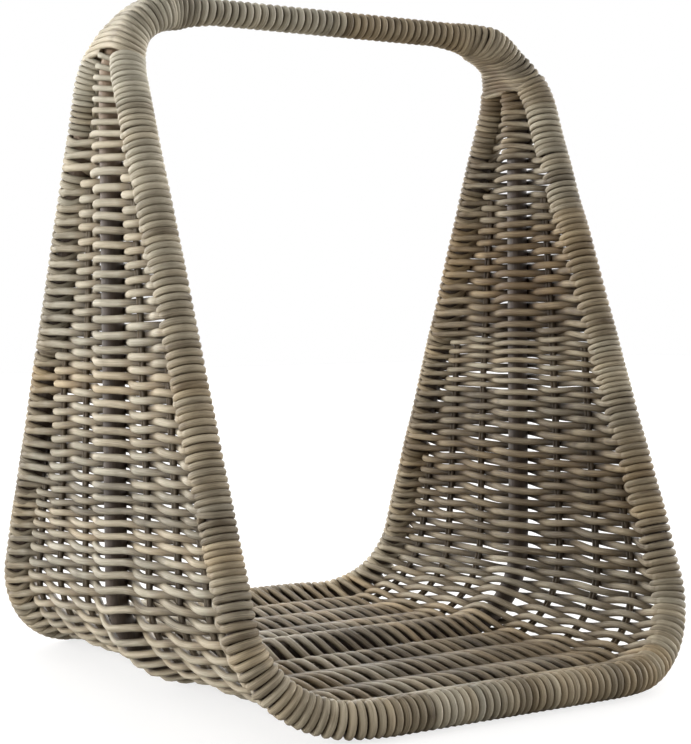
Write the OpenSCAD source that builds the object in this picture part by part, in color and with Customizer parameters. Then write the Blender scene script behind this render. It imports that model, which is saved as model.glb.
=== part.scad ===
// Wicker log basket: a woven sheet bent into a U, carried by three bent rattan poles
// that run up to one wrapped handle bar.
// Units are millimetres. +Z is up. The handle bar and the base rows of poles run along X.
// The basket is open to the front (-Y) and to the back (+Y).
// The origin is on the floor, under the middle of the basket.

/* [Overall size] */

// Floor to the top of the handle bar
overall_height = 500; // [400:5:600]
// Outside width over the two woven walls
overall_width = 392; // [320:4:480]
// Outside depth of the base over the front and back rims
overall_depth = 460; // [360:5:540]

/* [Bent shape] */

// Bend radius of the sheet between the base and a wall, at the pole centres
bottom_bend = 63; // [50:1:90]
// Bend radius of the handle corners, at the pole centres
top_bend = 59; // [45:1:80]
// Distance from the middle to a rim pole where the handle binding starts
top_spread = 22.4; // [22:0.2:30]
// Length before the bottom bend over which a rim starts to close in
rim_easing = 30; // [20:1:50]

/* [Poles and strands] */

// Diameter of the front, centre and back poles
pole_diameter = 16; // [12:0.5:18]
// Diameter of the handle bar inside its wrapping
handle_core_diameter = 10.4; // [8:0.2:14]
// Diameter of a woven or wrapped rattan strand
strand_diameter = 4.6; // [3.5:0.1:5.5]
// Diameter of one thin stake rod; the stakes stand in pairs
stake_diameter = 3.3; // [2.5:0.1:4]

/* [Stakes] */

// Distance of the inner stake pair from the middle, on the base
inner_stake = 53; // [47:1:59]
// Distance of the middle stake pair from the middle, on the base
middle_stake = 105; // [97:1:112]
// Distance of the outer stake pair from the middle, on the base
outer_stake = 158; // [150:1:164]
// Length of the inner stake pair past the start of the bottom bend
inner_reach = 390; // [340:5:395]
// Length of the middle stake pair past the start of the bottom bend
middle_reach = 270; // [240:5:275]
// Length of the outer stake pair past the start of the bottom bend
outer_reach = 165; // [140:5:170]

/* [Output] */

// Node to show, or all

/* [Hidden] */

pole_r = pole_diameter / 2;
core_r = handle_core_diameter / 2;
stake_r = stake_diameter / 2;
// Running clearance between a wrapped layer and what it covers
slack = 0.2;
wrap_r = pole_r + slack + strand_diameter;
handle_r = core_r + slack + strand_diameter;

// Half thickness of the woven sheet at a stake
sheet_h = stake_r + strand_diameter;
// Half size of the channel that holds a pair of stakes
slot_h = stake_r + slack;
slot_w = 2 * stake_r + slack + 0.3;

// The path runs along the middle of the base, up a wall, and along the handle
floor_z = wrap_r;
base_half = overall_width / 2 - wrap_r - bottom_bend;
rad = PI / 180;
s1 = base_half;
s2 = s1 + bottom_bend * 90 * rad;
wall_x = base_half + bottom_bend;
wall_z0 = floor_z + bottom_bend;
wall_z1 = overall_height - handle_r - top_bend;
wall_len = wall_z1 - wall_z0;
s3 = s2 + wall_len;
s4 = s3 + top_bend * 90 * rad;
bar_half = wall_x - top_bend;

// The binding starts a little way into the handle corner and runs to the handle bar
bind_s = s3 + 22;
bind_end = s4 - 10;
// The rims and the centre pole end together inside the binding
pole_end = s4 - 22;

rim_base_y = overall_depth / 2 - wrap_r;
rim_slope = (rim_base_y - top_spread) / (bind_s - s1 + rim_easing / 2);
base_cut = s1 - rim_easing;
// Inside the binding each rim is shaved down and laid beside the centre pole
shaved_r = 4.4;
beside_y = pole_r + shaved_r + 0.6;
meet_s = bind_s + (top_spread - beside_y) / rim_slope;
// Above this the rims are too close together for any weaving between them
full_lean = sqrt(1 + rim_slope * rim_slope);
weave_top = bind_s - (wrap_r * (1 + full_lean) + 2 * slack - top_spread) / rim_slope;

colour_strand = [0.66, 0.62, 0.54];
colour_pole = [0.48, 0.38, 0.28];
colour_stake = [0.55, 0.48, 0.38];

// Direction of the path in degrees: 0 along the base, 90 up a wall, 180 along the handle
function heading(s) =
  s <= s1 ? 0 :
  s <= s2 ? (s - s1) / bottom_bend / rad :
  s <= s3 ? 90 :
  s <= s4 ? 90 + (s - s3) / top_bend / rad : 180;

// Path position for s from the middle of the base to the middle of the handle
function path_x(s) =
  s <= s1 ? s :
  s <= s2 ? base_half + bottom_bend * sin(heading(s)) :
  s <= s3 ? wall_x :
  s <= s4 ? wall_x - top_bend * (1 - sin(heading(s))) :
  bar_half - (s - s4);
function path_z(s) =
  s <= s1 ? floor_z :
  s <= s2 ? floor_z + bottom_bend * (1 - cos(heading(s))) :
  s <= s3 ? wall_z0 + (s - s2) :
  s <= s4 ? wall_z1 - top_bend * cos(heading(s)) :
  overall_height - handle_r;

// A point of the sheet: s along the path (negative on the left), y across it,
// n outwards from its middle surface
function at(s, y, n) =
  let (t = abs(s), side = s < 0 ? -1 : 1, h = heading(t))
  [side * (path_x(t) + n * sin(h)), y, path_z(t) - n * cos(h)];

// Distance of a rim pole from the middle, with an eased start
function rim_y(s) =
  let (t = abs(s) - base_cut, w = rim_easing)
  t <= 0 ? rim_base_y :
  t <= w ? rim_base_y - rim_slope * t * t / (2 * w) :
  max(beside_y, rim_base_y - rim_slope * (t - w / 2));
// Stretch of a leaning pole's cut across the sheet
function lean(s) =
  let (t = min(max((abs(s) - base_cut) / rim_easing, 0), 1))
  abs(s) > meet_s ? 1 : sqrt(1 + pow(rim_slope * t, 2));

// Distance of stake pair k from the middle
function stake_y(k, s) =
  let (t = max(abs(s) - s1, 0))
  k == 1 ? inner_stake - 19 * pow(t / 390, 2) :
  k == 2 ? middle_stake - 0.085 * t :
  outer_stake - 0.22 * t;
function reach(k) =
  k == 1 ? s1 + inner_reach :
  k == 2 ? s1 + middle_reach :
  k == 3 ? s1 + outer_reach : 0;

// Stations along the path between two values, no further apart than a step
function spread(a, b, step) =
  let (count = max(1, ceil((b - a) / step)))
  [for (i = [0 : count]) a + (b - a) * i / count];
function corner_stations() = spread(s1, s2, 11.2);
all_stations =
  concat(spread(base_cut, s1, 10),
         [for (s = corner_stations()) if (s > s1 + 1) s],
         [for (s = spread(s2, s3, 75)) if (s > s2 + 1) s],
         [s3 + 7, s3 + 14, bind_s, (bind_s + meet_s) / 2, meet_s, (meet_s + pole_end) / 2]);
function half_stations(last) = concat([for (s = all_stations) if (s < last - 0.5) s], [last]);
function mirrored(list) =
  concat([for (i = [len(list) - 1 : -1 : 0]) -list[i]], list);

// Ring of points round a leaning pole
function ring(s, y, r, sides) =
  [for (i = [0 : sides - 1])
    at(s, y + r * lean(s) * cos(360 * i / sides), r * sin(360 * i / sides))];

// Closed solid through a list of rings with equal point counts; a ring that isn't convex
// needs the triangles of its end cap
module sweep(rings, cap = []) {
  m = len(rings[0]);
  k = len(rings);
  end = len(cap) > 0 ? cap : [[for (i = [0 : m - 1]) i]];
  points = [for (r = rings) for (p = r) p];
  sides = [for (j = [0 : k - 2]) for (i = [0 : m - 1])
    let (a = j * m + i, b = j * m + (i + 1) % m)
    each [[a, b, b + m], [a, b + m, a + m]]];
  first = [for (f = end) [for (i = [len(f) - 1 : -1 : 0]) f[i]]];
  last = [for (f = end) [for (i = f) (k - 1) * m + i]];
  polyhedron(points = points, faces = concat(sides, first, last), convexity = 8);
}

// Closed hollow tube through outer and inner rings with equal point counts
module hollow_sweep(outer, inner) {
  m = len(outer[0]);
  k = len(outer);
  off = m * k;
  points = concat([for (r = outer) for (p = r) p], [for (r = inner) for (p = r) p]);
  out_faces = [for (j = [0 : k - 2]) for (i = [0 : m - 1])
    let (a = j * m + i, b = j * m + (i + 1) % m)
    each [[a, b, b + m], [a, b + m, a + m]]];
  in_faces = [for (j = [0 : k - 2]) for (i = [0 : m - 1])
    let (a = off + j * m + i, b = off + j * m + (i + 1) % m)
    each [[b, a, a + m], [b, a + m, b + m]]];
  first = [for (i = [0 : m - 1])
    let (b = (i + 1) % m)
    [b, i, off + i, off + b]];
  e = (k - 1) * m;
  last = [for (i = [0 : m - 1])
    let (b = (i + 1) % m)
    [e + i, e + b, off + e + b, off + e + i]];
  polyhedron(points = points, faces = concat(out_faces, in_faces, first, last),
             convexity = 8);
}

// A bent pole that follows a rim from handle corner to handle corner
module rim_pole() {
  run = mirrored(half_stations(pole_end));
  // The last stretch is shaved down to lie beside the centre pole
  function r_at(s) =
    pole_r - (pole_r - shaved_r) * min(max((abs(s) - bind_s) / (meet_s - bind_s), 0), 1);
  sweep([for (s = run) ring(s, rim_y(s), r_at(s), 14)]);
}

// Two thin rods side by side, from wall to wall under and up the sheet
module stake_pair(k) {
  last = reach(k) - 1.2;
  run = mirrored(half_stations(last));
  for (side = [-1, 1])
    sweep([for (s = run) ring_flat(s, stake_y(k, s) + side * (stake_r + 0.1), stake_r)]);
}
function ring_flat(s, y, r) =
  [for (i = [0 : 5]) at(s, y + r * cos(60 * i), r * sin(60 * i))];

// Straight and bent stretches of a round rod along the path, as exact solids
module along_path(last) {
  bend = min(last, s4) - s3;
  translate([-base_half, 0, floor_z])
    rotate([0, 90, 0])
      linear_extrude(height = 2 * base_half)
        children();
  for (side = [0, 1])
    mirror([side, 0, 0]) {
      translate([base_half, 0, floor_z + bottom_bend])
        rotate([90, 0, 0])
          rotate([0, 0, -90])
            rotate_extrude(angle = 90, $fn = 96)
              translate([bottom_bend, 0])
                children();
      translate([wall_x, 0, wall_z0])
        linear_extrude(height = wall_len)
          children();
      translate([bar_half, 0, wall_z1])
        rotate([90, 0, 0])
          rotate_extrude(angle = bend / top_bend / rad, $fn = 96)
            translate([top_bend, 0])
              children();
    }
}

module centre_rod() {
  along_path(pole_end)
    circle(r = pole_r, $fn = 48);
}

// The straight handle bar and its two bent ends, for a round or ring section
module handle_path(first) {
  bend = (s4 - first) / top_bend / rad;
  translate([-bar_half, 0, overall_height - handle_r])
    rotate([0, 90, 0])
      linear_extrude(height = 2 * bar_half)
        children();
  for (side = [0, 1])
    mirror([side, 0, 0])
      translate([bar_half, 0, wall_z1])
        rotate([-90, 0, 0])
          rotate([0, 0, -90])
            rotate_extrude(angle = bend, $fn = 96)
              translate([top_bend, 0])
                children();
}

// Half of the sleeve that the strands make over the centre pole, as y and n pairs
bulge = [[3.4, wrap_r], [6.5, 11.15], [9.15, 9.15], [11.1, sheet_h]];
// Section of the bay next to the centre pole, out to yo, with its web ending at wo
function inner_bay(yo, wo) =
  let (g = 0.1, q = (pole_r + slack) / cos(11.25))
  concat(
    [[g, wrap_r]], bulge,
    [[yo, sheet_h], [yo, slot_h], [wo, slot_h]],
    [[wo, -slot_h], [yo, -slot_h], [yo, -sheet_h]],
    [for (i = [3 : -1 : 0]) [bulge[i][0], -bulge[i][1]]],
    [[g, -wrap_r], [g, -q]],
    [for (i = [-3 : 3]) [q * cos(22.5 * i), q * sin(22.5 * i)]],
    [[g, q]]);
// Section of a bay between two stake pairs, or between a stake pair and a rim
function outer_bay(yi, wi, yo, wo) =
  [[yi, sheet_h], [yo, sheet_h], [yo, slot_h], [wo, slot_h], [wo, -slot_h], [yo, -slot_h],
   [yo, -sheet_h], [yi, -sheet_h], [yi, -slot_h], [wi, -slot_h], [wi, slot_h], [yi, slot_h]];

// End caps of the two sections, as triangles
inner_cap = concat(
  [[0, 1, 23], [0, 23, 24], [1, 2, 22], [1, 22, 23], [2, 3, 21], [2, 21, 22]],
  [[3, 4, 20], [3, 20, 21], [4, 7, 20], [4, 5, 7], [5, 6, 7], [7, 8, 20]],
  [[8, 9, 10], [8, 10, 11], [8, 11, 20], [11, 12, 19], [11, 19, 20]],
  [[12, 13, 18], [12, 18, 19], [13, 14, 17], [13, 17, 18], [14, 15, 16], [14, 16, 17]]);
outer_cap = [[0, 1, 2], [0, 2, 3], [0, 3, 10], [0, 10, 11], [3, 4, 9], [3, 9, 10],
             [4, 5, 7], [5, 6, 7], [4, 7, 9], [7, 8, 9]];

// Outer edge of bay k and the end of its web: at the next stakes, or at the rim
function rim_edge(s) = rim_y(s) - wrap_r * lean(s) - slack;
function below_tip(k, s) = k < 3 && abs(s) < reach(k + 1) + 0.1;
function bay_out(k, s) = below_tip(k, s) ? stake_y(k + 1, s) - 0.1 : rim_edge(s);
function web_out(k, s) = below_tip(k, s) ? stake_y(k + 1, s) - slot_w : rim_edge(s) - 0.3;
function bay_section(k, s) =
  k == 0 ? inner_bay(bay_out(0, s), web_out(0, s)) :
  outer_bay(stake_y(k, s) + 0.1, stake_y(k, s) + slot_w, bay_out(k, s), web_out(k, s));

// One bay of the sheet between two stations, turned over for the front or the left
module bay(k, stations) {
  sweep([for (s = stations) [for (q = bay_section(k, s)) at(s, q[0], q[1])]],
        k == 0 ? inner_cap : outer_cap);
}

// The bend between the base and a wall, with the short flat stretch before it
module corner_weave() {
  run = concat(spread(base_cut + 0.1, s1, 10),
               [for (s = corner_stations()) if (s > s1 + 1) min(s, s2 - 0.1)]);
  for (turn = [0, 1])
    mirror([0, turn, 0])
      for (k = [0 : 3])
        bay(k, run);
}

// A wall from the bend up to the handle corner; each bay ends where its stakes end
module wall_weave() {
  first = s2 + 0.1;
  run_3 = [first, reach(3) - 0.4];
  run_2 = concat([first], [reach(3), reach(3) + 0.4], spread(reach(3) + 40, reach(2) - 0.4, 50));
  run_1 = concat(spread(first, reach(2), 60), [reach(2) + 0.4],
                 spread(reach(2) + 40, reach(1) - 0.4, 45));
  run_0 = concat(spread(first, reach(1), 60), [reach(1) + 0.4],
                 spread(s3, weave_top, 6));
  for (turn = [0, 1])
    mirror([0, turn, 0]) {
      bay(0, run_0);
      bay(1, run_1);
      bay(2, run_2);
      bay(3, run_3);
    }
}

// The flat stretch of the sheet under the logs, one extrusion for each bay
module base_sheet() {
  half = [for (q = inner_bay(bay_out(0, 0), web_out(0, 0))) if (q[0] > 3.3) q];
  edge = [for (i = [0 : 13]) half[i]];
  rotate([90, 0, 90])
    linear_extrude(height = 2 * base_cut, center = true)
      difference() {
        translate([0, floor_z])
          polygon(concat(edge, [for (i = [13 : -1 : 0]) [-edge[i][0], edge[i][1]]]));
        translate([0, floor_z])
          circle(r = pole_r + slack, $fn = 48);
      }
  for (turn = [0, 1])
    mirror([0, turn, 0])
      for (k = [1 : 3])
        rotate([90, 0, 90])
          linear_extrude(height = 2 * base_cut, center = true)
            translate([0, floor_z])
              polygon(bay_section(k, 0));
}

// Wrapping of a rim pole on the straight stretch of the base
module rim_sleeve() {
  translate([-base_cut, rim_base_y, floor_z])
    rotate([0, 90, 0])
      linear_extrude(height = 2 * base_cut)
        difference() {
          circle(r = wrap_r, $fn = 48);
          circle(r = pole_r + slack, $fn = 48);
        }
}

// Wrapping of a rim pole round the bend and up a wall to the binding
module rim_sleeve_side() {
  last = bind_s - 0.3;
  run = concat([base_cut + 0.1], [for (s = half_stations(last)) if (s > base_cut + 1) s]);
  inner_r = (pole_r + slack) / cos(180 / 16);
  hollow_sweep([for (s = run) ring(s, rim_y(s), wrap_r, 16)],
               [for (s = run) ring(s, rim_y(s), inner_r, 16)]);
}

// Flat oval section: half width a along y, half thickness b
function oval(s, a, b) =
  [for (i = [0 : 23])
    let (c = cos(15 * i + 7.5), w = sin(15 * i + 7.5))
    at(s, (c > 0 ? 1 : -1) * (a - b) + b * c, b * w)];

// Wide wrapping that ties the three pole ends to the handle bar
module binding() {
  spots = [bind_s, (bind_s + meet_s) / 2, meet_s, (meet_s + pole_end) / 2, pole_end,
           (pole_end + bind_end) / 2, bind_end];
  share = [0, 0.5, 1, 1, 1];
  // Half width and half thickness of the space inside, at each station
  wide = concat([for (i = [0 : 4]) rim_y(spots[i]) + slack + 0.2
                 + full_lean * (pole_r - (pole_r - shaved_r) * share[i])], [13, core_r + 0.3]);
  thick = concat([for (i = [0 : 4]) pole_r + slack + 0.15], [7.2, core_r + 0.25]);
  skin = strand_diameter - 0.15;
  hollow_sweep([for (i = [0 : 6]) oval(spots[i], wide[i] + skin, thick[i] + skin)],
               [for (i = [0 : 6]) oval(spots[i], wide[i], thick[i])]);
}

module front_rim_pole() {
  color(colour_pole)
    mirror([0, 1, 0])
      rim_pole();
}
module back_rim_pole() {
  color(colour_pole)
    rim_pole();
}
module centre_pole() {
  color(colour_pole)
    centre_rod();
}
module handle_core() {
  color(colour_pole)
    handle_path(pole_end + 1)
      circle(r = core_r, $fn = 48);
}
module front_inner_stakes() {
  color(colour_stake)
    mirror([0, 1, 0])
      stake_pair(1);
}
module front_middle_stakes() {
  color(colour_stake)
    mirror([0, 1, 0])
      stake_pair(2);
}
module front_outer_stakes() {
  color(colour_stake)
    mirror([0, 1, 0])
      stake_pair(3);
}
module back_inner_stakes() {
  color(colour_stake)
    stake_pair(1);
}
module back_middle_stakes() {
  color(colour_stake)
    stake_pair(2);
}
module back_outer_stakes() {
  color(colour_stake)
    stake_pair(3);
}
module base_weave() {
  color(colour_strand)
    base_sheet();
}
module left_corner_weave() {
  color(colour_strand)
    mirror([1, 0, 0])
      corner_weave();
}
module right_corner_weave() {
  color(colour_strand)
    corner_weave();
}
module left_wall_weave() {
  color(colour_strand)
    mirror([1, 0, 0])
      wall_weave();
}
module right_wall_weave() {
  color(colour_strand)
    wall_weave();
}
module front_rim_wrap_base() {
  color(colour_strand)
    mirror([0, 1, 0])
      rim_sleeve();
}
module front_rim_wrap_left() {
  color(colour_strand)
    mirror([1, 0, 0])
      mirror([0, 1, 0])
        rim_sleeve_side();
}
module front_rim_wrap_right() {
  color(colour_strand)
    mirror([0, 1, 0])
      rim_sleeve_side();
}
module back_rim_wrap_base() {
  color(colour_strand)
    rim_sleeve();
}
module back_rim_wrap_left() {
  color(colour_strand)
    mirror([1, 0, 0])
      rim_sleeve_side();
}
module back_rim_wrap_right() {
  color(colour_strand)
    rim_sleeve_side();
}
module handle_wrap() {
  color(colour_strand)
    handle_path(bind_end + 0.3)
      difference() {
        circle(r = handle_r, $fn = 48);
        circle(r = core_r + slack, $fn = 48);
      }
}
module left_handle_binding() {
  color(colour_strand)
    mirror([1, 0, 0])
      binding();
}
module right_handle_binding() {
  color(colour_strand)
    binding();
}

front_rim_pole();
centre_pole();
back_rim_pole();
handle_core();
front_inner_stakes();
front_middle_stakes();
front_outer_stakes();
back_inner_stakes();
back_middle_stakes();
back_outer_stakes();
base_weave();
left_corner_weave();
right_corner_weave();
left_wall_weave();
right_wall_weave();
front_rim_wrap_base();
front_rim_wrap_left();
front_rim_wrap_right();
back_rim_wrap_base();
back_rim_wrap_left();
back_rim_wrap_right();
handle_wrap();
left_handle_binding();
right_handle_binding();
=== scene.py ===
"""Woven rattan log basket: strands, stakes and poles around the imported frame."""
import math
import random

import bpy
import numpy as np
from mathutils import Matrix, Vector


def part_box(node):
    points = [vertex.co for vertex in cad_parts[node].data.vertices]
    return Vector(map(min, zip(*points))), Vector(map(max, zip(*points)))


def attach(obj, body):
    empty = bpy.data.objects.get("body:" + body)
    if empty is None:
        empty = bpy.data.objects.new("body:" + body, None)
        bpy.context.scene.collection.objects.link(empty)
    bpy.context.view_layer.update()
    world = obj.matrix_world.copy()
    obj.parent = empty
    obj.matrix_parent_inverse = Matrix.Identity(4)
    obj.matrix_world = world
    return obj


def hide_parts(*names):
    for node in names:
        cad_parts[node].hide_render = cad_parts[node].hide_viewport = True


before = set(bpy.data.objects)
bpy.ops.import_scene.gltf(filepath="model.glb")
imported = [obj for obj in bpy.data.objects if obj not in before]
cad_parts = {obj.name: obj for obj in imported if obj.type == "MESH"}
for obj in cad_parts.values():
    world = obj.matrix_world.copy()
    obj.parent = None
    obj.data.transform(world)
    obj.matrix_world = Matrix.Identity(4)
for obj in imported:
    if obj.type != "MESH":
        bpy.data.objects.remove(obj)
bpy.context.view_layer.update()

rng = random.Random(7)
MM = 0.001


def box_mm(node):
    lo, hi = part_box(node)
    return np.array(lo) / MM, np.array(hi) / MM


# ---------------------------------------------------------------- sizes, in millimetres
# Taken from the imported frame
rim_lo, rim_hi = box_mm("back_rim_wrap_base")
pole_lo, pole_hi = box_mm("centre_pole")
bar_lo, bar_hi = box_mm("handle_wrap")
WRAP_R = (rim_hi[2] - rim_lo[2]) / 2
RIM_BASE_Y = (rim_lo[1] + rim_hi[1]) / 2
BASE_CUT = rim_hi[0]
POLE_R = (pole_hi[1] - pole_lo[1]) / 2
WALL_X = pole_hi[0] - POLE_R
FLOOR_Z = pole_lo[2] + POLE_R
HANDLE_R = (bar_hi[1] - bar_lo[1]) / 2
HEIGHT = bar_hi[2]
# Of the design: bend radii of the sheet, half distance of the rims below a binding, length over
# which a rim starts to lean, stakes, and the rim poles where they are shaved thin
BOTTOM_BEND = 63.0
TOP_BEND = 59.0
TOP_SPREAD = 22.4
RIM_EASING = 30.0
STAKE_R = 1.65
SHAVED_R = 4.4
# How far each stake runs past the flat of the base, from the inner pair to the outer one
REACH = {1: 390.0, 2: 270.0, 3: 165.0}

# Stations along the sheet, from the middle of the base: the bottom bend starts at S1 and ends at
# S2, and the top bend starts at S3 and ends at S4
S1 = WALL_X - BOTTOM_BEND
S2 = S1 + BOTTOM_BEND * math.pi / 2
Z0 = FLOOR_Z + BOTTOM_BEND
Z1 = HEIGHT - HANDLE_R - TOP_BEND
S3 = S2 + Z1 - Z0
S4 = S3 + TOP_BEND * math.pi / 2
BAR_HALF = WALL_X - TOP_BEND
# The binding starts at BIND_S and ends at BIND_END, and the poles inside it end at POLE_END
BIND_S = S3 + 22.0
BIND_END = S4 - 10.0
POLE_END = S4 - 22.0
# How the rims lean together up a wall, and where they come to lie beside the centre pole
SLOPE = (RIM_BASE_Y - TOP_SPREAD) / (BIND_S - S1 + RIM_EASING / 2)
BESIDE_Y = POLE_R + SHAVED_R + 0.6
MEET_S = BIND_S + (TOP_SPREAD - BESIDE_Y) / SLOPE
FULL_LEAN = math.sqrt(1 + SLOPE * SLOPE)


# ---------------------------------------------------------------- the sheet's own coordinates
def at(s, y, n):
    """Points in space from s along the sheet, y across it and n outwards from it."""
    s, y, n = (np.asarray(v, float) for v in (s, y, n))
    t = np.abs(s)
    side = np.where(s < 0, -1.0, 1.0)
    h = np.where(t <= S1, 0.0,
        np.where(t <= S2, (t - S1) / BOTTOM_BEND,
        np.where(t <= S3, math.pi / 2,
        np.where(t <= S4, math.pi / 2 + (t - S3) / TOP_BEND, math.pi))))
    x = np.where(t <= S1, t,
        np.where(t <= S2, S1 + BOTTOM_BEND * np.sin(h),
        np.where(t <= S3, WALL_X,
        np.where(t <= S4, WALL_X - TOP_BEND * (1 - np.sin(h)), BAR_HALF - (t - S4)))))
    z = np.where(t <= S1, FLOOR_Z,
        np.where(t <= S2, FLOOR_Z + BOTTOM_BEND * (1 - np.cos(h)),
        np.where(t <= S3, Z0 + t - S2,
        np.where(t <= S4, Z1 - TOP_BEND * np.cos(h), HEIGHT - HANDLE_R))))
    return np.stack([side * (x + n * np.sin(h)), y, z - n * np.cos(h)], axis=-1)


def rim_y(s):
    """Distance of a rim's middle line from the middle of the sheet."""
    t = abs(s) - BASE_CUT
    if t <= 0:
        return RIM_BASE_Y
    if t <= RIM_EASING:
        return RIM_BASE_Y - SLOPE * t * t / (2 * RIM_EASING)
    return max(BESIDE_Y, RIM_BASE_Y - SLOPE * (t - RIM_EASING / 2))


def rim_slope(s):
    """How fast a rim comes nearer to the middle of the sheet, signed with s."""
    t = min(max((abs(s) - BASE_CUT) / RIM_EASING, 0.0), 1.0)
    return SLOPE * t * (1 if s > 0 else -1)


def stake_y(k, s):
    """Distance of stake pair k from the middle of the sheet."""
    t = max(abs(s) - S1, 0.0)
    if k == 1:
        return 53.0 - 19.0 * (t / REACH[1]) ** 2
    if k == 2:
        return 105.0 - 0.085 * t
    return 158.0 - 0.22 * t


def stakes_at(s):
    """The stake pairs that reach a station, inner pair first."""
    return [k for k in (1, 2, 3) if abs(s) < S1 + REACH[k]]


# ---------------------------------------------------------------- smooth random fields
def waves(count, shortest, longest, seed):
    """Plane waves of random length, direction and phase, which field() adds up."""
    r = random.Random(seed)
    out = []
    for _ in range(count):
        length = r.uniform(shortest, longest)
        turn = r.uniform(0, 2 * math.pi)
        out.append((2 * math.pi / length * math.cos(turn), 2 * math.pi / length * math.sin(turn),
                    r.uniform(0, 2 * math.pi)))
    return out


def field(terms, s, y):
    return sum(math.sin(a * s + b * y + c) for a, b, c in terms) / math.sqrt(len(terms))


drift = waves(9, 45, 190, 11)  # moves rows along the sheet
lift = waves(9, 30, 90, 12)  # moves strands off the sheet


# ---------------------------------------------------------------- one continuous woven strand
# Canes from the left binding to the right one: where each is at its full thickness, how far
# apart its rows lie, how light it is and how brown
CANES = [
    (-BIND_S, 3.4, 0.08, 0.00), (-570.0, 3.55, 0.07, 0.00), (-546.0, 3.9, 0.06, 0.00),
    (-530.0, 4.5, 0.05, 0.03), (-515.0, 5.3, 0.04, 0.05), (-495.0, 5.5, 0.04, 0.00),
    (-465.0, 4.85, 0.00, 0.05), (-435.0, 4.9, 0.02, 0.02), (-405.0, 5.2, 0.02, 0.10),
    (-372.0, 5.1, -0.05, 0.38), (-345.0, 4.85, -0.04, 0.32), (-312.0, 5.05, 0.00, 0.05),
    (-275.0, 4.3, -0.03, 0.10), (-250.0, 4.5, -0.02, 0.15), (-222.0, 5.4, 0.02, 0.15),
    (-160.0, 5.5, 0.05, 0.25), (-95.0, 5.6, 0.08, 0.30), (-50.0, 6.0, 0.10, 0.15),
    (0.0, 5.6, 0.06, 0.20), (45.0, 5.9, 0.05, 0.35), (95.0, 5.8, 0.05, 0.45),
    (150.0, 5.6, 0.06, 0.40), (200.0, 5.3, 0.14, 0.05), (250.0, 4.95, 0.12, 0.15),
    (278.0, 5.0, 0.08, 0.50), (315.0, 5.1, 0.02, 0.15), (338.0, 4.9, 0.02, 0.15),
    (354.0, 3.8, 0.08, 0.30), (388.0, 3.75, 0.12, 0.05), (412.0, 5.5, 0.08, 0.30),
    (440.0, 5.4, 0.06, 0.45), (462.0, 5.0, 0.02, 0.40), (495.0, 4.7, 0.00, 0.25),
    (514.0, 4.2, 0.00, 0.20), (540.0, 4.4, 0.00, 0.15), (BIND_S, 4.4, 0.02, 0.10)]
CANE_AT, CANE_PITCH, CANE_SHADE, CANE_WARMTH = zip(*CANES)
THINNEST = 2.1
PACKED_FROM = 540.0
LAST_ROW_ROOM = 0.5


def pitch(s):
    """Distance from one row to the next."""
    return float(np.interp(s, CANE_AT, CANE_PITCH))


def row_radius(s):
    """Radius of a strand in the weave."""
    tight = np.interp(abs(s), [S1, S2 + 20, S2 + 150, S3 - 120, BIND_S],
                      [0.45, 0.57, 0.585, 0.575, 0.60])
    return max(float(tight) * pitch(s), THINNEST)


def wrap_radius(s):
    """Radius of a strand round a rim, where turns lie side by side on a leaning pole."""
    return max(0.495 * pitch(s) * math.sqrt(1 + rim_slope(s) ** 2), THINNEST - 0.1)


def is_packed(s):
    """Near the bindings the rims are wound separately and rows leave them from the inside."""
    return abs(s) > PACKED_FROM


def row_face(s, sign):
    """The face of the rims a row ends on: 1 outside, -1 inside, 0 between the poles."""
    return 0 if is_packed(s) else sign * (-1) ** (len(stakes_at(s)) + 1)


def row_stations():
    """Where the rows cross the centre pole, from the left binding to the right one."""
    sides = []
    for way in (-1, 1):
        s, half = way * pitch(0) / 2, []
        while abs(s) < BIND_S - LAST_ROW_ROOM:
            half.append(s)
            s += way * pitch(s)
        sides.append(half)
    return sides[0][::-1] + sides[1]


def zone(s):
    """The section of the sheet that a station lies in."""
    side = "left" if s < 0 else "right"
    if abs(s) < BASE_CUT:
        return "base"
    return side + ("_corner" if abs(s) < S2 else "_wall")


class Path:
    """Points of a strand, each with its radius, its piece and the way the weave is open."""

    def __init__(self):
        self.s, self.y, self.n, self.r, self.label, self.out = [], [], [], [], [], []

    def add(self, s, y, n, r, label, out):
        self.s.append(s)
        self.y.append(y)
        self.n.append(n)
        self.r.append(r)
        self.label.append(label)
        self.out.append(out)


WANDER = 1.15  # how far rows wander from their even places
SWAY = 0.38  # and how far a row leaves its own line at each crossing
LAY = 1.8  # dip of a row beside the centre pole
LAY_PLACE, LAY_WIDTH = 24.0, 14.0
GAP_STEPS = 7
SHORTEST_STEP = 5.0
TURN_STEPS = 20
ROUNDNESS = 0.75
STEPS_PER_WIND = 30


def ease(t):
    """Partly rounded rise from 0 to 1, as a strand bends between two crossings."""
    return ROUNDNESS * (1 - math.cos(math.pi * t)) / 2 + (1 - ROUNDNESS) * t


def turn_round_pole(path, s, spread, sign, direction, r, label):
    """A full turn round the centre pole, high on the right wall where the poles draw together."""
    for i in range(1, TURN_STEPS):
        t = i / TURN_STEPS
        phi = sign * (math.pi / 2 - direction * 2 * math.pi * t)
        radius = WRAP_R - r
        wobble = WANDER * field(drift, s, 0.0)
        path.add(s + spread * (2 * t - 1) + wobble, radius * math.cos(phi),
                 radius * math.sin(phi), r, label, (math.cos(phi), math.sin(phi)))


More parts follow.
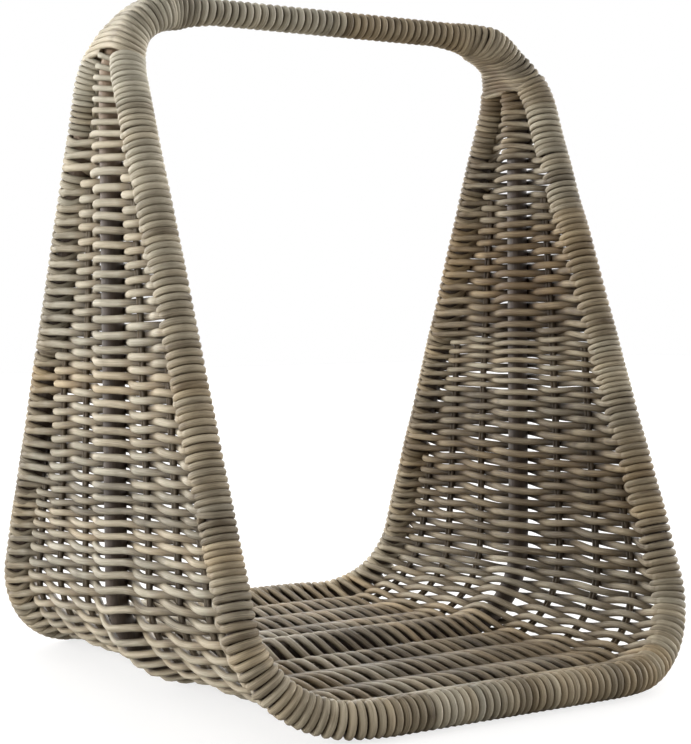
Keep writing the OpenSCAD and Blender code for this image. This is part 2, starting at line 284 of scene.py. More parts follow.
def weave_row(path, s, sign, direction, r):
    """One row from rim to rim; sign is its side of the sheet at the centre pole."""
    ks = stakes_at(s)
    reach_in = WRAP_R - wrap_radius(s)
    packed = is_packed(s)
    edge = rim_y(s) - (reach_in if packed else 0.0)
    ys = [-edge] + [-stake_y(k, s) for k in reversed(ks)] + [0.0]
    ys += [stake_y(k, s) for k in ks] + [edge]
    middle = len(ks) + 1
    heights = []
    sway = [rng.gauss(0, SWAY) for _ in ys]
    tilt = pitch(s) / 2 if packed else 0.0
    spread = pitch(s) / 2 if packed and s > 0 and sign > 0 else 0.0
    if packed and s > 0:
        r = pitch(s) / 2
    lay = 0.0
    if sign > 0:
        lay = LAY * float(np.interp(abs(s), [S1 + 60, S2, 300, 350], [0, 1, 1, 0]))
    for i in range(len(ys)):
        j = abs(i - middle)
        flip = sign * (-1) ** j
        if j == 0:
            heights.append(flip * (WRAP_R - r))
        elif i in (0, len(ys) - 1):
            heights.append(row_face(s, sign) * reach_in)
        else:
            heights.append(flip * (STAKE_R + 0.92 * r + 0.15 * field(lift, s, ys[i])))
    order = list(range(len(ys)))[::direction]
    label = zone(s) + "_weave"
    for a, b in zip(order[:-1], order[1:]):
        if spread and a == middle:
            turn_round_pole(path, s, spread, sign, direction, r, label)
        gap = abs(ys[b] - ys[a])
        steps = max(4, min(GAP_STEPS, round(gap / SHORTEST_STEP)))
        for i in range(steps):
            t = i / steps
            y = ys[a] + (ys[b] - ys[a]) * t
            n = heights[a] + (heights[b] - heights[a]) * ease(t)
            off = WANDER * field(drift, s, y) + sway[a] + (sway[b] - sway[a]) * ease(t)
            off += spread * (direction if y > 0 else -direction) * (1 - abs(y) / edge)
            off -= lay * math.exp(-((y - math.copysign(LAY_PLACE, s)) / LAY_WIDTH) ** 2)
            off -= tilt * direction * y / edge
            near = (rim_y(s) - abs(y)) / WRAP_R
            thick = r + (wrap_radius(s) - r) * max(0.0, 1 - near)
            path.add(s + off, y, n, thick, label, (0.0, max(-1.0, min(1.0, n / 4))))


def wrap_rim(path, s0, s1, face0, face1, direction):
    """The turns round a rim pole between two rows, from face0, where one ends, to face1."""
    half = face0 or -face1 or 1
    begin = 0.5 if face0 else 1.0
    turns = 2.0 if face0 == face1 else 1.5 if face0 and face1 else 1.75
    c0 = s0 if face0 else s0 - pitch(s0) / 2
    c1 = s1 if face1 else s1 + pitch(s1) / 2
    steps = round(TURN_STEPS * turns)
    label = ("back" if direction > 0 else "front") + "_" + zone((s0 + s1) / 2) + "_rim"
    for i in range(steps):
        u = i / steps * turns * 2
        phi = half * math.pi * (begin - u)
        mix = u / (2 * turns)
        if face0 and face1:
            # The step to the next row is made in the middle of the turns
            mix = min(max((u - 1) / (2 * turns - 2), 0.0), 1.0)
            mix = min(max((mix - 0.28) / 0.44, 0.0), 1.0)
            mix = mix * mix * (3 - 2 * mix)
        c = c0 + (c1 - c0) * mix
        rr = wrap_radius(c)
        radius = WRAP_R - rr
        m = rim_slope(c)
        lean = math.sqrt(1 + m * m)
        sc = c + 0.85 * radius * m / lean * math.cos(phi)
        wobble = WANDER * field(drift, c, direction * rim_y(c))
        y = rim_y(sc) + lean * radius * math.cos(phi)
        path.add(sc + wobble, direction * y, radius * math.sin(phi), rr, label,
                 (direction * math.cos(phi), math.sin(phi)))


def woven_path():
    """The whole strand of weave and rims, from the left binding to the right one."""
    path = Path()
    rows = row_stations()
    direction = 1
    for i, s in enumerate(rows):
        sign = 1 if i % 2 == 0 else -1
        weave_row(path, s, sign, direction, row_radius(s))
        if i + 1 < len(rows):
            nxt = rows[i + 1]
            wrap_rim(path, s, nxt, row_face(s, sign), row_face(nxt, -sign), direction)
        direction = -direction
    return path


# ---------------------------------------------------------------- handle and its bindings
SKIN = 4.45
NECK_HALF_WIDTH = 12.4
BINDING_DROOP = 5.0


def oval_section(s):
    """Half width, half thickness and extra depth inwards over the wrapping of the handle."""
    t = abs(s)
    wide_1 = TOP_SPREAD + 0.4 + FULL_LEAN * POLE_R
    wide_2 = BESIDE_Y + 0.4 + FULL_LEAN * SHAVED_R
    thick = POLE_R + 0.35
    core = HANDLE_R - SKIN
    stations = [BIND_S, MEET_S, POLE_END, (POLE_END + BIND_END) / 2, BIND_END + 4]
    a = np.interp(t, stations, [wide_1, wide_2, wide_2, NECK_HALF_WIDTH, core])
    b = np.interp(t, [POLE_END - 8, S4 + 6], [thick, core])
    fillet = np.interp(t, [MEET_S + 10, POLE_END, S4 - 6, S4 + 6, S4 + 24],
                       [0, 1.6, 4.6, 2.6, 0])
    return max(float(a), float(b)) + SKIN, float(b) + SKIN, float(fillet)


def on_oval(a, b, u):
    """Point of a stadium outline at fraction u of its length: across and outwards."""
    flat, arc = 2 * (a - b), math.pi * b
    total = 2 * (flat + arc)
    d = (u % 1.0) * total
    if d < flat / 2:
        return d, b
    d -= flat / 2
    if d < arc:
        w = d / b
        return a - b + b * math.sin(w), b * math.cos(w)
    d -= arc
    if d < flat:
        return a - b - d, -b
    d -= flat
    if d < arc:
        w = d / b
        return -(a - b) - b * math.sin(w), -b * math.cos(w)
    d -= arc
    return -(a - b) + d, b


def handle_label(s):
    """The piece of the handle's wrapping that a station lies in."""
    if abs(s) < BIND_END:
        return ("left" if s < 0 else "right") + "_binding"
    return "handle_wrap"


HANDLE_AT = [BIND_S, S4 - 4, S4 + 10]


def handle_pitch(s):
    return float(np.interp(abs(s), HANDLE_AT, [4.0, 4.3, 6.3]))


def handle_radius(s):
    return float(np.interp(abs(s), HANDLE_AT, [2.3, 2.4, 2.75]))


def way_down(s):
    """How much the sides of a binding turn hang down, with the sign of the side."""
    return float(np.interp(abs(s), [BIND_S, POLE_END], [1.0, 0.0])) * (1 if s > 0 else -1)


def wind(path, s_from, s_to, u):
    """Winds round the handle between two stations; returns where on the oval it ends."""
    step = 1.0 / STEPS_PER_WIND
    way = 1 if s_to > s_from else -1
    s = s_from
    while (s_to - s) * way > 0:
        r = handle_radius(s)
        a, b, fillet = oval_section(s)
        y, n = on_oval(a - r, b - r, u)
        flat = a - b
        oy, on = y - max(-flat, min(flat, y)), n
        if n < 0:
            n *= 1 + fillet / (b - r)
        size = math.hypot(oy, on)
        droop = -way_down(s) * BINDING_DROOP * (y / a) ** 2
        path.add(s + droop, y, n, r, handle_label(s), (oy / size, on / size))
        u += step
        s += way * step * handle_pitch(s)
    return u


def over_handle():
    """One winding from the foot of the left binding over the bar to the foot of the right one."""
    path = Path()
    foot, middle = BIND_S - 1.5, S4 + BAR_HALF
    u = wind(path, -foot, -middle, 0.0)
    wind(path, middle, foot, u)
    return path


# ---------------------------------------------------------------- tubes
RIM_BAND = 14.0
SIDES = 10
CAP_RING, CAP_AT, CAP_TIP = 0.7, 0.25, 0.12  # of the radius


class Tube:
    """Collects rings of one piece and turns them into a closed mesh."""

    def __init__(self):
        self.verts, self.faces, self.uvs, self.tone = [], [], [], []
        self.count = 0

    def add(self, centres, normals, binormals, radii, length, tone, outward):
        """One stretch of tube. Tone holds shade, warmth and the wear of the cut ends. Along the
        tube its third value becomes how far each point faces the open side of the weave."""
        m = len(centres)
        ang = np.linspace(0, 2 * math.pi, SIDES, endpoint=False)
        ring = (normals[:, None, :] * np.cos(ang)[None, :, None]
                + binormals[:, None, :] * np.sin(ang)[None, :, None])
        pts = centres[:, None, :] + ring * radii[:, None, None]
        base = self.count
        self.verts.append(pts.reshape(-1, 3))
        shades = np.repeat(tone, SIDES, axis=0)
        facing = (ring * outward[:, None, :]).sum(-1)
        # The material darkens the sides that face into the weave: dust and painted shade
        shades[:, 2] = np.clip(0.5 + 0.5 * facing, 0, 1).ravel()
        self.tone.append(shades)
        i = np.arange(m - 1)[:, None]
        j = np.arange(SIDES)[None, :]
        k = (j + 1) % SIDES
        quads = np.stack(np.broadcast_arrays(base + i * SIDES + j, base + i * SIDES + k,
                                             base + (i + 1) * SIDES + k,
                                             base + (i + 1) * SIDES + j), axis=-1)
        self.faces.append(quads.reshape(-1, 4))
        v0 = np.broadcast_to(j / SIDES, (m - 1, SIDES))
        v1 = np.broadcast_to((j + 1) / SIDES, (m - 1, SIDES))
        u0 = np.broadcast_to(length[:-1, None], (m - 1, SIDES))
        u1 = np.broadcast_to(length[1:, None], (m - 1, SIDES))
        uv = np.stack([np.stack([u0, v0], -1), np.stack([u0, v1], -1),
                       np.stack([u1, v1], -1), np.stack([u1, v0], -1)], axis=2)
        self.uvs.append(uv.reshape(-1, 2))
        self.count += m * SIDES
        for end in (0, m - 1):
            # A low rounded cap: a small ring and then a middle point
            first = base + end * SIDES
            out = -1 if end == 0 else 1
            axis = np.cross(normals[end], binormals[end])
            axis /= np.linalg.norm(axis)
            tip = centres[end] + out * axis * radii[end] * CAP_AT
            small = tip + ring[end] * radii[end] * CAP_RING
            self.verts.append(small)
            self.verts.append(tip[None, :] + out * axis * radii[end] * CAP_TIP)
            self.tone.append(np.repeat(tone[end:end + 1], SIDES + 1, axis=0))
            inner = self.count
            middle = inner + SIDES
            self.count += SIDES + 1
            quad, tri = [], []
            for q in range(SIDES):
                w = (q + 1) % SIDES
                ring_face = [first + q, first + w, inner + w, inner + q]
                tip_face = [inner + q, inner + w, middle, middle]
                if end == 0:
                    ring_face.reverse()
                    tip_face = [inner + w, inner + q, middle, middle]
                quad.append(ring_face)
                tri.append(tip_face)
            self.faces.append(np.array(quad + tri))
            flat = np.zeros((2 * SIDES * 4, 2))
            flat[:, 0] = length[end]
            flat[:, 1] = 0.5
            self.uvs.append(flat)

    def build(self, name, material):
        """The mesh object; a face whose last two corners are the same is a triangle."""
        verts = np.concatenate(self.verts) * MM
        faces = np.concatenate(self.faces)
        uvs = np.concatenate(self.uvs)
        tone = np.concatenate(self.tone)
        tri = faces[:, 2] == faces[:, 3]
        sizes = np.where(tri, 3, 4)
        keep = np.ones(faces.shape, bool)
        keep[tri, 3] = False
        loops = faces[keep]
        uvs = uvs.reshape(-1, 4, 2)[keep]
        mesh = bpy.data.meshes.new(name)
        mesh.vertices.add(len(verts))
        mesh.vertices.foreach_set("co", verts.astype(np.float32).ravel())
        mesh.loops.add(len(loops))
        mesh.loops.foreach_set("vertex_index", loops.astype(np.int32))
        starts = np.concatenate([[0], np.cumsum(sizes)[:-1]])
        mesh.polygons.add(len(faces))
        mesh.polygons.foreach_set("loop_start", starts.astype(np.int32))
        mesh.polygons.foreach_set("use_smooth", np.ones(len(faces), bool))
        layer = mesh.uv_layers.new(name="strand")
        layer.data.foreach_set("uv", uvs.astype(np.float32).ravel())
        colour = mesh.color_attributes.new("tone", "FLOAT_COLOR", "POINT")
        rgba = np.ones((len(verts), 4), np.float32)
        rgba[:, :3] = tone
        colour.data.foreach_set("color", rgba.ravel())
        mesh.update(calc_edges=True)
        mesh.validate()
        mesh.materials.append(material)
        piece = bpy.data.objects.new(name, mesh)
        bpy.context.scene.collection.objects.link(piece)
        return piece


def frames(points):
    """Tangent-following normals and binormals with no twist."""
    tangent = np.gradient(points, axis=0)
    tangent /= np.linalg.norm(tangent, axis=1)[:, None]
    normal = np.zeros_like(points)
    ref = np.array([0.0, 0.0, 1.0]) if abs(tangent[0][2]) < 0.9 else np.array([1.0, 0.0, 0.0])
    v = ref - tangent[0] * np.dot(ref, tangent[0])
    normal[0] = v / np.linalg.norm(v)
    for i in range(1, len(points)):
        v = normal[i - 1] - tangent[i] * np.dot(normal[i - 1], tangent[i])
        normal[i] = v / np.linalg.norm(v)
    return normal, np.cross(tangent, normal)


def rise(value, length):
    """0 up to 0, then even growth to 1 over a length."""
    return np.clip(value / length, 0, 1)


def stains_and_painted_shade(stations, across):
    """Shade and warmth by place: what years of light, hands and dust did to the basket, and
    painted shade on the inside of the right wall.
    """
    shade = np.interp(stations, CANE_AT, CANE_SHADE)
    warm = np.interp(stations, CANE_AT, CANE_WARMTH)
    rim_inside = np.array([rim_y(s) for s in stations]) - RIM_BAND
    on_rim = rise(np.abs(across) - rim_inside, 6)
    below = rise(BIND_S + 25 - np.abs(stations), 25)
    left = below * rise(-stations - S1, 60)
    right = below * rise(stations + 40, 60)
    low = rise(S2 + 170 - np.abs(stations), 120)
    on_base = rise(S2 - np.abs(stations), 60)

    # A brown patch high on the right wall
    patch = np.exp(-((stations - 442) / 36) ** 2 - ((across + 12) / 50) ** 2)
    shade -= 0.34 * patch
    warm += 0.50 * patch

    # The bindings, and the two halves of the bar
    bar = rise(np.abs(stations) - S3 - 60, 30)
    shade += 0.02 * (1 - below) + bar * np.where(stations < 0, -0.10, 0.06)

    # A pale top on the left wall, and a dark back rim on the right one
    shade += 0.18 * rise(-stations - 430, 60) * below
    far = right * rise(stations - 260, 80) * rise(across - rim_inside, 8)
    shade -= far * (0.20 + 0.12 * rise(stations - 470, 60))
    warm += 0.25 * far

    # The right half is browner, and darker as painted shade for the shaded inside of the right
    # wall, most on the rows between the rims; the left wall is paler between browner rims
    shade -= right * (0.05 + 0.11 * (1 - on_rim))
    warm += 0.14 * right
    shade += left * (0.13 - 0.18 * on_rim)

    # Darker low on the walls, with painted shade low on the inside of the right wall, and a paler
    # base
    shade -= low * (0.04 + 0.14 * right * (1 - on_base)) + on_base * (0.06 * on_rim - 0.19)

    # The turns round the centre pole under the right binding
    packed = rise(stations - 505, 30) * np.exp(-(across / 12) ** 2)
    shade -= 0.16 * packed
    warm += 0.35 * packed

    # The brown of the left rims fades out towards the top
    warm += left * 0.22 * on_rim * rise(480 + stations, 80)
    return shade, warm


NODE_SPACING = (180, 420)
NODE_LENGTH = 3.5
CANE_SPREAD = 0.30


def cane_tones(length, stations, across, seed, shortest, longest):
    """Shade, warmth and wear along a strand: canes differ, change slowly and have dark nodes."""
    r = random.Random(seed)
    place_shade, place_warm = stains_and_painted_shade(stations, across)
    tone = np.zeros((len(length), 3))
    slow = waves(5, 120, 700, seed + 1)
    quick = waves(5, 25, 90, seed + 2)
    cuts, d = [], 0.0
    while d < length[-1] + 1:
        d += r.uniform(shortest, longest)
        cuts.append(d)
    canes = [(r.gauss(0, 1), r.random(), r.random()) for _ in range(len(cuts) + 1)]
    index = np.searchsorted(cuts, length)
    knots, d = [], r.uniform(60, 300)
    while d < length[-1]:
        knots.append(d)
        d += r.uniform(*NODE_SPACING)
    knots = np.array(knots + [1e9])
    for i, d in enumerate(length):
        shade, warm, worn = canes[index[i]]
        a = field(slow, d, 0.0)
        b = field(quick, d, 0.0)
        ring = math.exp(-(np.abs(knots - d).min() / NODE_LENGTH) ** 2)
        tone[i] = (0.5 + CANE_SPREAD * 0.25 * shade + 0.06 * a + 0.09 * b - 0.24 * ring
                   + place_shade[i],
                   place_warm[i] + 0.35 * (warm - 0.4) + 0.10 * a, worn)
    return np.clip(tone, 0, 1)


def lengths_along(points):
    steps = np.linalg.norm(np.diff(points, axis=0), axis=1)
    return np.concatenate([[0.0], np.cumsum(steps)])


def tubes_from(path, store, seed, shortest=600, longest=2200):
    """Cuts a strand where it passes from one piece to the next and adds each stretch there."""
    points = at(path.s, path.y, path.n)
    length = lengths_along(points)
    normal, binormal = frames(points)
    radii = np.array(path.r)
    tone = cane_tones(length, np.array(path.s), np.array(path.y), seed, shortest, longest)
    labels = path.label
    up = at(path.s, path.y, np.asarray(path.n) + 1) - points
    out = np.asarray(path.out)
    outward = up * out[:, 1:2]
    outward[:, 1] += out[:, 0]
    start = 0
    n = len(labels)
    while start < n - 1:
        end = start
        while end + 1 < n and labels[end + 1] == labels[start]:
            end += 1
        last = min(end + 1, n - 1)
        sl = slice(start, last + 1)
        if last > start:
            store.setdefault(labels[start], Tube()).add(
                points[sl], normal[sl], binormal[sl], radii[sl], length[sl] * MM, tone[sl],
                outward[sl])
        start = end + 1


# ---------------------------------------------------------------- materials
BUMP_DEPTH = 0.0006
# Darkening by how far a point faces into the weave: dust and painted shade in the hollows
DUST_AND_SHADE = [(0.1, (0.19, 0.16, 0.13)), (0.86, (1, 1, 1)), (0.52, (0.58, 0.54, 0.49))]
PALE_POLE = (0.50, 0.355, 0.225)
PALE_FROM, PALE_TO = 0.34, 0.44  # heights in metres


def new_material(name):
    m = bpy.data.materials.new(name)
    m.use_nodes = True
    nt = m.node_tree
    nt.nodes.clear()
    out = nt.nodes.new("ShaderNodeOutputMaterial")
    shader = nt.nodes.new("ShaderNodeBsdfPrincipled")
    nt.links.new(shader.outputs["BSDF"], out.inputs["Surface"])
    return m, nt, shader


def node(nt, kind, **settings):
    n = nt.nodes.new(kind)
    for key, value in settings.items():
        setattr(n, key, value)
    return n


def link(nt, a, b):
    nt.links.new(a, b)


def math_node(nt, operation, a, b=None, c=None):
    n = node(nt, "ShaderNodeMath", operation=operation)
    for i, v in enumerate((a, b, c)):
        if v is None:
            continue
        if isinstance(v, (int, float)):
            n.inputs[i].default_value = v
        else:
            link(nt, v, n.inputs[i])
    return n.outputs[0]


def ramp(nt, fac, stops):
    n = node(nt, "ShaderNodeValToRGB")
    el = n.color_ramp.elements
    el[0].position, el[0].color = stops[0][0], (*stops[0][1], 1)
    el[1].position, el[1].color = stops[1][0], (*stops[1][1], 1)
    for pos, col in stops[2:]:
        e = el.new(pos)
        e.color = (*col, 1)
    link(nt, fac, n.inputs["Fac"])
    return n.outputs["Color"]


def mix_colour(nt, fac, a, b, blend="MIX"):
    n = node(nt, "ShaderNodeMix", data_type="RGBA", blend_type=blend)
    for socket, v in ((n.inputs[0], fac), (n.inputs[6], a), (n.inputs[7], b)):
        if isinstance(v, (int, float)):
            socket.default_value = v
        elif isinstance(v, tuple):
            socket.default_value = (*v, 1)
        else:
            link(nt, v, socket)
    return n.outputs[2]


def set_inputs(n, **values):
    """Sets sockets by name, with _ for a space."""
    for key, value in values.items():
        n.inputs[key.replace("_", " ")].default_value = value


def strand_vector(nt, along, around):
    """A seamless texture vector from the strand's length and the angle round it."""
    uv = node(nt, "ShaderNodeUVMap", uv_map="strand")
    split = node(nt, "ShaderNodeSeparateXYZ")
    link(nt, uv.outputs["UV"], split.inputs[0])
    angle = math_node(nt, "MULTIPLY", split.outputs["Y"], 2 * math.pi)
    join = node(nt, "ShaderNodeCombineXYZ")
    link(nt, math_node(nt, "MULTIPLY", split.outputs["X"], along), join.inputs[0])
    link(nt, math_node(nt, "MULTIPLY", math_node(nt, "COSINE", angle), around), join.inputs[1])
    link(nt, math_node(nt, "MULTIPLY", math_node(nt, "SINE", angle), around), join.inputs[2])
    return join.outputs[0]


def noise(nt, vector, scale, detail=3.0, roughness=0.6):
    n = node(nt, "ShaderNodeTexNoise")
    set_inputs(n, Scale=scale, Detail=detail, Roughness=roughness)
    link(nt, vector, n.inputs["Vector"])
    return n.outputs["Fac"]


def rough_between(nt, shader, value, least, most):
    """Lets a texture value move the roughness."""
    n = node(nt, "ShaderNodeMapRange")
    set_inputs(n, To_Min=least, To_Max=most)
    link(nt, value, n.inputs["Value"])
    link(nt, n.outputs[0], shader.inputs["Roughness"])


def raised(nt, shader, value, strength):
    """Lets a texture value raise the surface."""
    n = node(nt, "ShaderNodeBump")
    set_inputs(n, Strength=strength, Distance=BUMP_DEPTH)
    link(nt, value, n.inputs["Height"])
    link(nt, n.outputs[0], shader.inputs["Normal"])


def rattan(name, dark, middle, light, warm, roughness, bump):
    """Round cane: fibres along it, blotches, a tint by place, and dust and painted shade in the
    hollows.
    """
    m, nt, shader = new_material(name)
    tone = node(nt, "ShaderNodeAttribute", attribute_name="tone")
    parts = node(nt, "ShaderNodeSeparateColor")
    link(nt, tone.outputs["Color"], parts.inputs[0])
    fibres = noise(nt, strand_vector(nt, 9.0, 1.0), 5.0, 4.0, 0.65)
    blotch = noise(nt, strand_vector(nt, 14.0, 0.35), 2.2, 3.0, 0.55)
    streaks = noise(nt, strand_vector(nt, 22.0, 1.6), 3.0, 2.0, 0.5)
    shade = parts.outputs[0]
    for texture, weight in ((fibres, 0.7), (blotch, 0.75), (streaks, 0.55)):
        centred = math_node(nt, "SUBTRACT", texture, 0.5)
        shade = math_node(nt, "ADD", shade, math_node(nt, "MULTIPLY", centred, weight))
    colour = ramp(nt, shade, [(0.12, dark), (0.88, light), (0.5, middle)])
    tinted = mix_colour(nt, parts.outputs[1], colour, warm, "MULTIPLY")
    # Dust and painted shade on the sides that face into the weave
    dusted_and_shaded = mix_colour(nt, 1.0, tinted, ramp(nt, parts.outputs[2], DUST_AND_SHADE), "MULTIPLY")
    link(nt, dusted_and_shaded, shader.inputs["Base Color"])
    set_inputs(shader, Specular_IOR_Level=0.28)
    rough_between(nt, shader, blotch, roughness - 0.1, roughness + 0.14)
    raised(nt, shader, fibres, bump)
    return m


def pole_material(name, dark, light):
    """Rattan pole between the strands: grain up and down, and pale at the top of the left wall."""
    m, nt, shader = new_material(name)
    coords = node(nt, "ShaderNodeTexCoord")
    stretch = node(nt, "ShaderNodeMapping")
    set_inputs(stretch, Scale=(900, 900, 60))
    link(nt, coords.outputs["Object"], stretch.inputs["Vector"])
    grain = noise(nt, stretch.outputs[0], 1.0, 4.0, 0.6)
    patches = noise(nt, coords.outputs["Object"], 38.0, 3.0, 0.6)
    shade = math_node(nt, "ADD", math_node(nt, "MULTIPLY", grain, 0.5),
                      math_node(nt, "MULTIPLY", patches, 0.5))
    grained = ramp(nt, shade, [(0.3, dark), (0.7, light)])
    place = node(nt, "ShaderNodeSeparateXYZ")
    link(nt, coords.outputs["Object"], place.inputs[0])
    high = node(nt, "ShaderNodeMapRange")
    set_inputs(high, From_Min=PALE_FROM, From_Max=PALE_TO)
    link(nt, place.outputs["Z"], high.inputs["Value"])
    left_side = math_node(nt, "LESS_THAN", place.outputs["X"], 0.0)
    high_left = math_node(nt, "MULTIPLY", high.outputs[0], left_side)
    pale = math_node(nt, "MULTIPLY", high_left, patches)
    link(nt, mix_colour(nt, pale, grained, PALE_POLE), shader.inputs["Base Color"])
    rough_between(nt, shader, grain, 0.5, 0.75)
    raised(nt, shader, grain, 0.35)
    return m


strand_mat = rattan("rattan strand", dark=(0.13, 0.107, 0.075), middle=(0.30, 0.27, 0.205),
                    light=(0.50, 0.46, 0.365), warm=(1.0, 0.80, 0.56), roughness=0.6, bump=0.75)
# Stakes darker than the strands: painted shade for where they sit between the over-passes
shaded_stake_mat = rattan("rattan stake", dark=(0.07, 0.055, 0.038), middle=(0.15, 0.125, 0.09),
                   light=(0.25, 0.22, 0.165), warm=(1.0, 0.82, 0.6), roughness=0.62, bump=0.4)
# Poles near black: their own brown, darkened as painted shade for the gaps where they show between
# the strands
shaded_pole_mat = pole_material("rattan pole", dark=(0.022, 0.015, 0.010), light=(0.092, 0.060, 0.038))


# ---------------------------------------------------------------- pieces
REPLACED = {
    "base_weave": ["base_weave"],
    "front_base_rim": ["front_rim_wrap_base"],
    "back_base_rim": ["back_rim_wrap_base"],
    "handle_wrap": ["handle_wrap"],
}
for side in ("left", "right"):
    REPLACED[f"{side}_binding"] = [f"{side}_handle_binding"]
    for part in ("corner", "wall"):
        REPLACED[f"{side}_{part}_weave"] = [f"{side}_{part}_weave"]
        for end in ("front", "back"):
            REPLACED[f"{end}_{side}_{part}_rim"] = [f"{end}_rim_wrap_{side}"]

tubes = {}
tubes_from(woven_path(), tubes, 101)
tubes_from(over_handle(), tubes, 301, 500, 1300)
for label in sorted(tubes):
    piece = tubes[label].build(label + "_strands", strand_mat)
    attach(piece, "root")
    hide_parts(*REPLACED[label])

STAKE_END = 1.2
STAKE_STEP = 6.0
for end, way in (("front", -1), ("back", 1)):
    for k, name in ((1, "inner"), (2, "middle"), (3, "outer")):
        tube = Tube()
        last = S1 + REACH[k] - STAKE_END
        for side in (-1, 1):
            path = Path()
            for s in np.arange(-last, last, STAKE_STEP):
                y = stake_y(k, s) + side * (STAKE_R + 0.1)
                path.add(s, way * y, 0.25 * field(lift, s, y * 3), STAKE_R * 1.02, "stake",
                         (0.0, 0.0))
            points = at(path.s, path.y, path.n)
            length = lengths_along(points)
            normal, binormal = frames(points)
            tone = cane_tones(length, np.array(path.s), np.zeros(len(length)),
                              500 + 10 * k + side + 100 * way, 5000, 9000)
            # A stake has no outward side, so the dust-and-shade darkening lies evenly all round
            # it: painted shade
            tube.add(points, normal, binormal, np.array(path.r), length * MM, tone,
                     np.zeros_like(points))
        piece = tube.build(f"{end}_{name}_stake_rods", shaded_stake_mat)
        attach(piece, "root")
        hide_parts(f"{end}_{name}_stakes")

# The poles stay as they are in the frame and only get their material
for name in ("front_rim_pole", "centre_pole", "back_rim_pole", "handle_core"):
    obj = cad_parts[name]
    if obj.data.materials:
        for slot in obj.material_slots:
            slot.link = "OBJECT"
            slot.material = shaded_pole_mat
    else:
        obj.data.materials.append(shaded_pole_mat)

# ---------------------------------------------------------------- floor
FLOOR_HALF = 6.0
FLOOR_GLOW = 0.76
FLOOR_COLOUR = (0.3, 0.298, 0.295, 1)
FLOOR_GLOW_COLOUR = (1.0, 0.995, 0.99, 1)
FLOOR_BOUNCE = (0.5, 0.49, 0.47, 1)


def split_by_camera_ray(nt, seen, unseen, target):
    """What the camera sees comes from one shader, and the light on the basket from another."""
    looked_at = node(nt, "ShaderNodeLightPath")
    choice = node(nt, "ShaderNodeMixShader")
    link(nt, looked_at.outputs["Is Camera Ray"], choice.inputs[0])
    link(nt, unseen.outputs[0], choice.inputs[1])
    link(nt, seen.outputs[0], choice.inputs[2])
    link(nt, choice.outputs[0], target.inputs["Surface"])


floor_mesh = bpy.data.meshes.new("floor")
floor_mesh.from_pydata([(x * FLOOR_HALF, y * FLOOR_HALF, 0)
                        for x, y in ((-1, -1), (1, -1), (1, 1), (-1, 1))], [], [(0, 1, 2, 3)])
floor = bpy.data.objects.new("floor", floor_mesh)
bpy.context.scene.collection.objects.link(floor)
floor_mat, nt, shader = new_material("pale floor")
shader.inputs["Base Color"].default_value = FLOOR_COLOUR
shader.inputs["Roughness"].default_value = 0.9
shader.inputs["Specular IOR Level"].default_value = 0.1
shader.inputs["Emission Color"].default_value = FLOOR_GLOW_COLOUR
shader.inputs["Emission Strength"].default_value = FLOOR_GLOW
matt = node(nt, "ShaderNodeBsdfDiffuse")
matt.inputs["Color"].default_value = FLOOR_BOUNCE
split_by_camera_ray(nt, shader, matt, nt.nodes["Material Output"])
floor_mesh.materials.append(floor_mat)

# ---------------------------------------------------------------- light
# A bright band low round the sides and back, dark towards the viewer and overhead
DARK_SIDE = (-0.26, -0.965, 0.0)
ROUND_THE_SIDES = [(0.45, (1, 1, 1)), (0.88, (0.04, 0.04, 0.04)), (0.1, (0.85, 0.85, 0.85))]
UPWARD = [(0.3, (1, 1, 1)), (0.62, (0.02, 0.02, 0.02))]
BAND_STRENGTH = 7.6
TOP_LIGHT, TOP_SPREAD_DEGREES = 0.9, 60
TOP_LIGHT_FROM = (0.0, 0.15, 1.0)

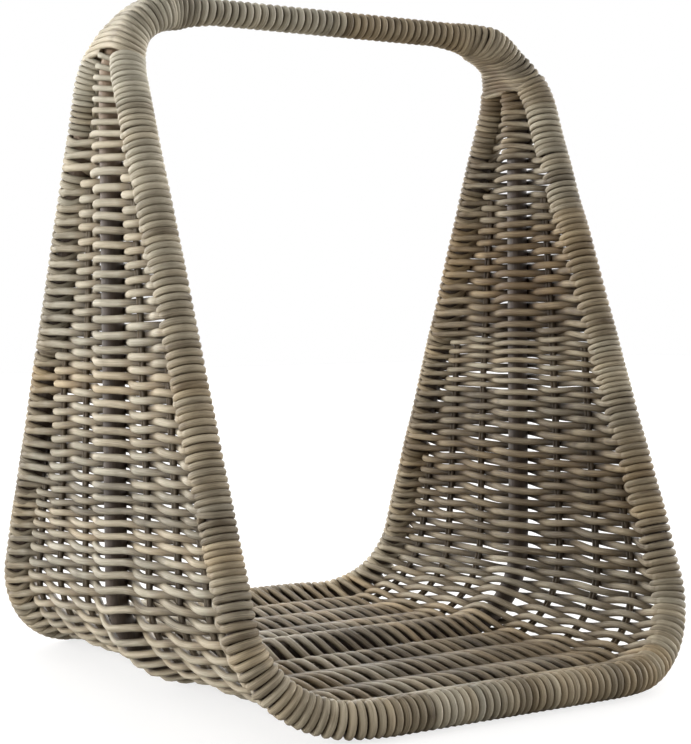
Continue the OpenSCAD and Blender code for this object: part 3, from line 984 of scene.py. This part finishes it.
scene = bpy.context.scene
world = bpy.data.worlds.new("studio")
scene.world = world
world.use_nodes = True
nt = world.node_tree
nt.nodes.clear()
ahead = node(nt, "ShaderNodeTexCoord")
facing = node(nt, "ShaderNodeVectorMath", operation="DOT_PRODUCT")
facing.inputs[1].default_value = DARK_SIDE
link(nt, ahead.outputs["Generated"], facing.inputs[0])
turned = math_node(nt, "MULTIPLY_ADD", facing.outputs["Value"], 0.5, 0.5)
height = node(nt, "ShaderNodeSeparateXYZ")
link(nt, ahead.outputs["Generated"], height.inputs[0])
band = mix_colour(nt, 1.0, ramp(nt, turned, ROUND_THE_SIDES),
                  ramp(nt, height.outputs["Z"], UPWARD), "MULTIPLY")
glow = node(nt, "ShaderNodeBackground")
set_inputs(glow, Strength=BAND_STRENGTH)
link(nt, band, glow.inputs["Color"])
white = node(nt, "ShaderNodeBackground")
set_inputs(white, Color=(1.0, 1.0, 1.0, 1), Strength=1.0)
split_by_camera_ray(nt, white, glow, node(nt, "ShaderNodeOutputWorld"))

sun = bpy.data.lights.new("top light", "SUN")
sun.energy = TOP_LIGHT
sun.angle = math.radians(TOP_SPREAD_DEGREES)
sun.color = (1.0, 0.995, 0.985)
lamp = bpy.data.objects.new("top light", sun)
lamp.rotation_mode = "QUATERNION"
lamp.rotation_quaternion = (-Vector(TOP_LIGHT_FROM)).to_track_quat("-Z", "Y")
scene.collection.objects.link(lamp)
scene.view_settings.view_transform = "Standard"

# ---------------------------------------------------------------- camera
CAMERA_AT = Vector((-729.3, -1130.8, 273.0)) * MM
YAW, PITCH, ROLL = 0.58115, -0.0360, -0.0080
# Focal length in units of which the long side of the frame has LONG_SIDE
FOCAL_LENGTH, LONG_SIDE = 1756.8, 744
SENSOR = 36.0

forward = Vector((math.sin(YAW) * math.cos(PITCH), math.cos(YAW) * math.cos(PITCH),
                  math.sin(PITCH)))
right = forward.cross(Vector((0, 0, 1))).normalized()
up = right.cross(forward)
right = (right * math.cos(ROLL) + up * math.sin(ROLL)).normalized()
up = right.cross(forward)
cam_data = bpy.data.cameras.new("camera")
cam_data.sensor_width = SENSOR
cam_data.lens = FOCAL_LENGTH * SENSOR / LONG_SIDE
camera = bpy.data.objects.new("camera", cam_data)
axes = Matrix((right, up, -forward)).transposed()
camera.matrix_world = Matrix.Translation(CAMERA_AT) @ axes.to_4x4()
scene.collection.objects.link(camera)
scene.camera = camera
